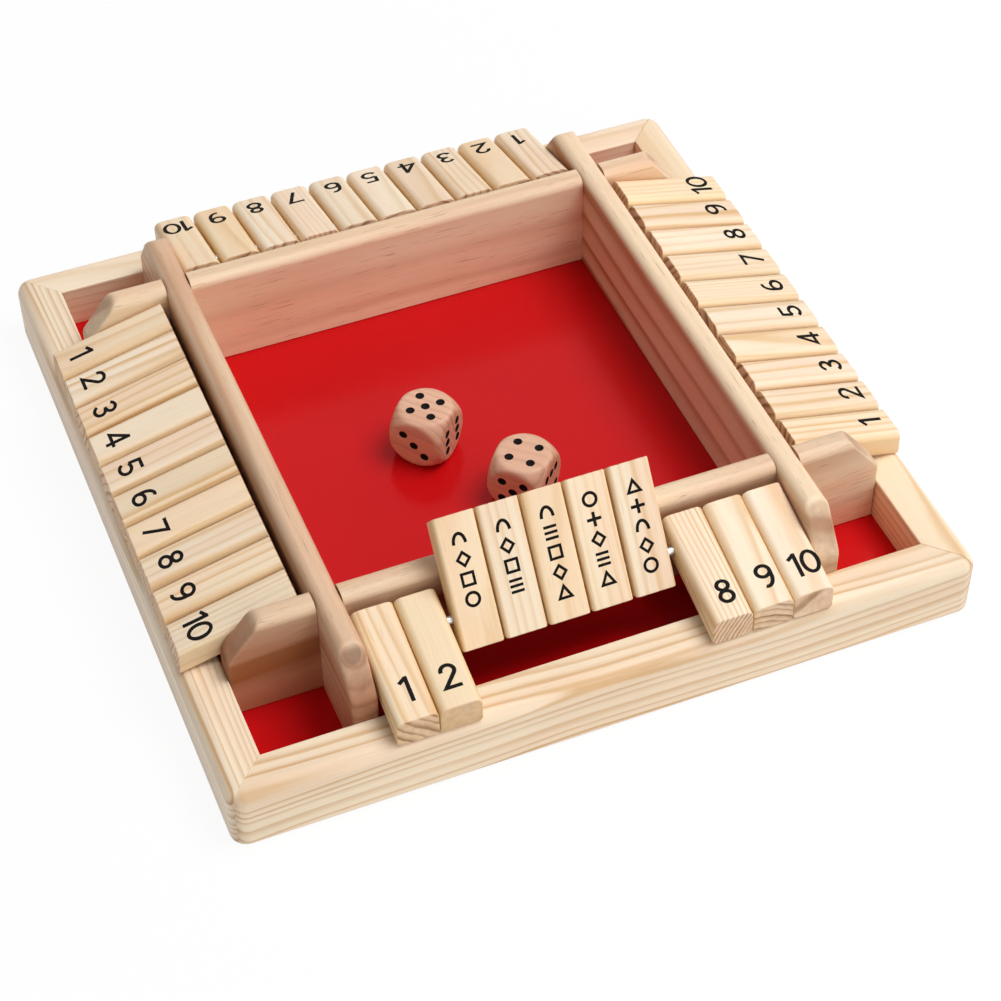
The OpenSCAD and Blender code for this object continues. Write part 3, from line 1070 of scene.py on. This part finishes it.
# %% Pick a tile's wood
PICKED = {
    "tile_front_1": ((30.0, 28.0), (2.6, -0.03, 0.3, 1.0)),
    "tile_front_2": ((-9.0, 60.0), (26.0, -0.03, 0.5, 0.5)),
    "tile_front_8": ((54.0, -25.0), (1.35, 0.0, 0.1, 1.1)),
    "tile_front_9": ((-10.0, -36.0), (1.9, 0.0, 0.15, 1.0)),
    "tile_front_10": ((-24.0, 30.0), (9.5, 0.0, 0.0, 0.8)),
}
SLIPPED = {
    "tile_front_8": (0.9, -0.7), "tile_front_9": (1.0, 0.0), "tile_front_10": (0.9, 0.2),
}
LENGTHWISE = turned(-90, "Z")
FLANK_BOUNCE_FROM = 1.5
FLANK_BOUNCE_GOLD = 0.45
END_ZONE = -20


def chance_wood():
    """The pith, look and lean of a tile, and how far its number slipped."""
    angle = chance.uniform(0, 2 * math.pi)
    distance = chance.uniform(14, 70)
    pith = (distance * math.cos(angle), distance * math.sin(angle))
    year = chance.uniform(1.5, 3.6)
    gold = chance.uniform(0.0, 0.7) ** 2
    look = (year, chance.uniform(-0.03, 0.05), gold, chance.uniform(0.5, 1.0))
    lean = (chance.uniform(-1.2, 1.2), chance.uniform(-1.2, 1.2))
    return pith, look, lean, (chance.uniform(-0.3, 0.3), chance.uniform(-0.3, 0.3))


def saw_tile(mesh, pith, look, lean):
    """Tells a tile's mesh where in the trunk it was."""
    places = points_of(mesh)
    sloped = SLANT * (places[:, 2] / TILE_T + 0.5)
    places[:, 1] -= np.where(places[:, 1] < END_ZONE, sloped, 0)
    corner = np.array((TILE_W / 2, TILE_IN, TILE_T / 2))
    wear = edge_nearness(places, (-TILE_W / 2, -TILE_OUT, -TILE_T / 2), corner, reach=0.8)
    # painted bounce light: the long sides of a tile are made more golden, as warm light from the
    # next tile would make them
    flank_bounce = np.clip((np.abs(places[:, 0]) - TILE_W / 2 + FLANK_BOUNCE_FROM) / FLANK_BOUNCE_FROM, 0, 1)
    year, tone, gold, rings = look
    mesh.transform(LENGTHWISE.inverted())
    saw_from_trunk(mesh, pith, (year, tone, gold + flank_bounce * FLANK_BOUNCE_GOLD, rings), lean, wear)
    mesh.transform(LENGTHWISE)


print("picked by hand:", sorted(PICKED))

# %% Hang forty tiles
for side in SIDES:
    for number in range(1, 11):
        node = f"tile_{side}_{number}"
        low, high = box_mm(node)
        middle = turn_to(side).transposed() @ ((low + high) / 2)
        turn = tipped(node, side, flipped=middle.y > -ROD_AT)
        pith, look, lean, slip = chance_wood()
        pith, look = PICKED.get(node, (pith, look))
        mesh = printed_tile(node, number, NUMBER_UP[side], SLIPPED.get(node, slip))
        saw_tile(mesh, pith, look, lean)
        place = turn_to(side) @ Matrix.Translation((middle.x, -ROD_AT, ROD_Z)) @ turned(turn, "X")
        body = f"{side}_tile_{number}"
        place_piece(mesh, node, place, [tile_wood, black_ink], body)
    print(side, "tiles hang, the last one tipped", round(turn, 1), "degrees")

# %% [markdown]
# ## Dice
#
# A wooden die starts as a cube and is tumbled until its corners are gone. What is left is a
# cube and a ball in one: flat faces that end in a circle, and round corners. Blending how
# far the two reach in each direction, with a high power, gives that shape with soft rims.
# Grids over the six faces carry the curve without a pole. The pips are shallow dimples,
# drilled last: the faces that the cutter leaves keep its second material, black paint.

# %% Die shape
DIE_W = 18.0
DIE_TRIM = 0.6
BALL_R = DIE_W / math.sqrt(2) - DIE_TRIM
PIP_D = 2.8
PIP_DEEP = 0.6
PIP_PITCH = 3.5
TUMBLE_POWER = 34
DIE_GRID = 44
CORNERS = [(-1, 1), (1, 1), (-1, -1), (1, -1)]
DIE_FACES = [
    ((0, 0, 1), (1, 0, 0), (0, 1, 0), CORNERS + [(0, 0)]),
    ((0, 0, -1), (1, 0, 0), (0, -1, 0), [(-1, 1), (1, -1)]),
    ((0, -1, 0), (1, 0, 0), (0, 0, 1), [(-1, 1), (0, 0), (1, -1)]),
    ((0, 1, 0), (-1, 0, 0), (0, 0, 1), CORNERS),
    ((1, 0, 0), (0, 1, 0), (0, 0, 1), CORNERS + [(-1, 0), (1, 0)]),
    ((-1, 0, 0), (0, -1, 0), (0, 0, 1), [(0, 0)]),
]


def tumbled(direction):
    """How far a tumbled cube reaches in a direction."""
    cube = max(abs(part) for part in direction) / (DIE_W / 2)
    return (cube ** TUMBLE_POWER + (1 / BALL_R) ** TUMBLE_POWER) ** (-1 / TUMBLE_POWER)


def die_body():
    """Six grids of points, pushed out to the tumbled shape and joined at their edges."""
    shape = bmesh.new()
    spread = [math.tan((k / DIE_GRID - 0.5) * math.pi / 2) for k in range(DIE_GRID + 1)]
    for face in DIE_FACES:
        normal, right, up = (Vector(part) for part in face[:3])
        grid = []
        for b in spread:
            row = []
            for a in spread:
                direction = (normal + right * a + up * b).normalized()
                row.append(shape.verts.new(direction * tumbled(direction)))
            grid.append(row)
        for row, above in zip(grid, grid[1:]):
            for k in range(DIE_GRID):
                shape.faces.new((row[k], row[k + 1], above[k + 1], above[k]))
    bmesh.ops.remove_doubles(shape, verts=shape.verts, dist=0.001)
    return to_mesh(shape, "die body")


def pip_cutter():
    """All twenty-one balls that press the pips into the die."""
    shape = bmesh.new()
    radius = (PIP_D ** 2 / 4 + PIP_DEEP ** 2) / (2 * PIP_DEEP)
    ball = {"u_segments": 32, "v_segments": 40, "radius": radius}
    for normal, right, up, pips in DIE_FACES:
        for a, b in pips:
            at = Vector(normal) * (DIE_W / 2 + radius - PIP_DEEP)
            at += (Vector(right) * a + Vector(up) * b) * PIP_PITCH
            aim = Vector(normal).to_track_quat("Z", "Y").to_matrix().to_4x4()
            bmesh.ops.create_uvsphere(shape, matrix=Matrix.Translation(at) @ aim, **ball)
    for face in shape.faces:
        face.material_index = 1
    return to_mesh(shape, "pips")


print("die", DIE_W, "mm, corners tumbled to a ball of", round(2 * BALL_R, 2), "mm")

# %% Two dice
DICE = {"die_1": (-46.0, 0.0), "die_2": (-45.0, 90.0)}
for node, (heading, roll) in DICE.items():
    low, high = box_mm(node)
    mesh = carve(die_body(), pip_cutter())
    pith = (chance.uniform(50, 80), chance.uniform(30, 60))
    saw_from_trunk(mesh, pith, (2.4, 0.0, 0.2, 0.5), (3.0, -2.0))
    place = Matrix.Translation((low + high) / 2) @ turned(heading, "Z") @ turned(roll, "X")
    painted = sum(face.material_index for face in mesh.polygons)
    place_piece(mesh, node, place, [die_pine, black_ink], node)
    print(node, "faces", len(mesh.polygons), "of which painted", painted)

# %% [markdown]
# ## Table, light and camera
#
# The game stands on a plain white table in a bright studio. Table and world show nearly
# pure white to the camera and to reflections, while the light on the wood stays at a level
# where a colour comes out as it was written. The table still darkens under the game, so
# there is a shadow.

# %% Table and world
TABLE = 3.0
TABLE_DROP = 0.2
TABLE_WHITE = 0.93
AMBIENT = 0.33
PURE_WHITE = (1.0, 1.0, 1.0, 1)


def white_rays(start):
    """1 for rays from the camera, or seen in a mirror or through glass."""
    kinds = ("Is Camera Ray", "Is Glossy Ray", "Is Transmission Ray")
    camera, glossy, clear = start.node("LightPath", give=kinds)
    return camera.math("MAXIMUM", camera, glossy.math("MAXIMUM", glossy, clear))


def table_recipe():
    """A white table top, faintly mottled and lifted to white for the camera."""
    material, start = new_material("white table")
    place = start.node("TexCoord", give="Object")
    mottle = place.noise((9.0, 9.0, 9.0), 0.0, 3.0)
    white = mottle.blend((0.93, 0.93, 0.93, 1), (0.96, 0.96, 0.96, 1))
    paint = {"Base Color": white, "Roughness": 0.8, "Specular IOR Level": 0.1}
    matt = start.node("BsdfPrincipled", None, paint)
    glow = start.node("Emission", None, {"Color": PURE_WHITE, "Strength": 1.0})
    share = white_rays(start) * TABLE_WHITE
    surface = start.node("MixShader", None, {0: share, 1: matt, 2: glow})
    start.node("OutputMaterial", None, {"Surface": surface})
    return material


shape = bmesh.new()
bmesh.ops.create_grid(shape, x_segments=8, y_segments=8, size=TABLE / 2)
table = into_scene("table", to_mesh(shape, "table"))
table.data.materials.append(table_recipe())
table.location.z = -TABLE_DROP * MM
table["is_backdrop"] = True

world = bpy.data.worlds.new("studio")
world.use_nodes = True
world.node_tree.nodes.clear()
start = Value(world.node_tree, None)
level = AMBIENT + white_rays(start) * (1.0 - AMBIENT)
sky = start.node("Background", None, {"Color": PURE_WHITE, "Strength": level})
start.node("OutputWorld", None, {"Surface": sky})
bpy.context.scene.world = world
print("table", TABLE, "m wide, ambient light", AMBIENT)

# %% Lamps
GAME = Vector((0, 0, 0.02))
SOFT_BOXES = {
    "key soft box": ((0.7, -0.22, 1.65), 1.0, 24.0),
    "fill soft box": ((0.55, -1.35, 0.6), 0.9, 4.6),
}
for name, (where, size, power) in SOFT_BOXES.items():
    light = bpy.data.lights.new(name, "AREA")
    light.size = size
    light.energy = power
    lamp = into_scene(name, light)
    lamp.location = where
    lamp.rotation_euler = (GAME - Vector(where)).to_track_quat("-Z", "Y").to_euler()
print("lamps:", list(SOFT_BOXES))

# %% [markdown]
# The camera stands an arm's length away, in front and a little to the left, and looks down
# at the tray at nearly 47 degrees. Three turns aim it, and a long lens keeps the far rails
# from shrinking.

# %% Camera
AZIMUTH = -21.72
ELEVATION = 46.54
ROLL = -0.56
DISTANCE = 777.4
AIM = Vector((1.95, -20.33, 0.0))
SENSOR = 36.0
LENS = 90.06

camera = into_scene("camera", bpy.data.cameras.new("camera"))
camera.data.sensor_width = SENSOR
camera.data.lens = LENS
stand = turned(AZIMUTH, "Z") @ turned(90 - ELEVATION, "X") @ turned(ROLL, "Z")
stand.translation = (AIM + stand.col[2].xyz * DISTANCE) * MM
camera.matrix_world = stand
bpy.context.scene.camera = camera
bpy.context.scene.view_settings.view_transform = "Standard"
print("camera", [round(part, 3) for part in camera.location])

# %% [markdown]
# ## Measure and finish
#
# The dressed model has to fill the same box as the solids, so both boxes are written down.

# %% Sizes
visual_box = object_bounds()
for name, (low, high) in (("solids", cad_box), ("dressed", visual_box)):
    print(name, [round(c / MM, 2) for c in low], [round(c / MM, 2) for c in high])
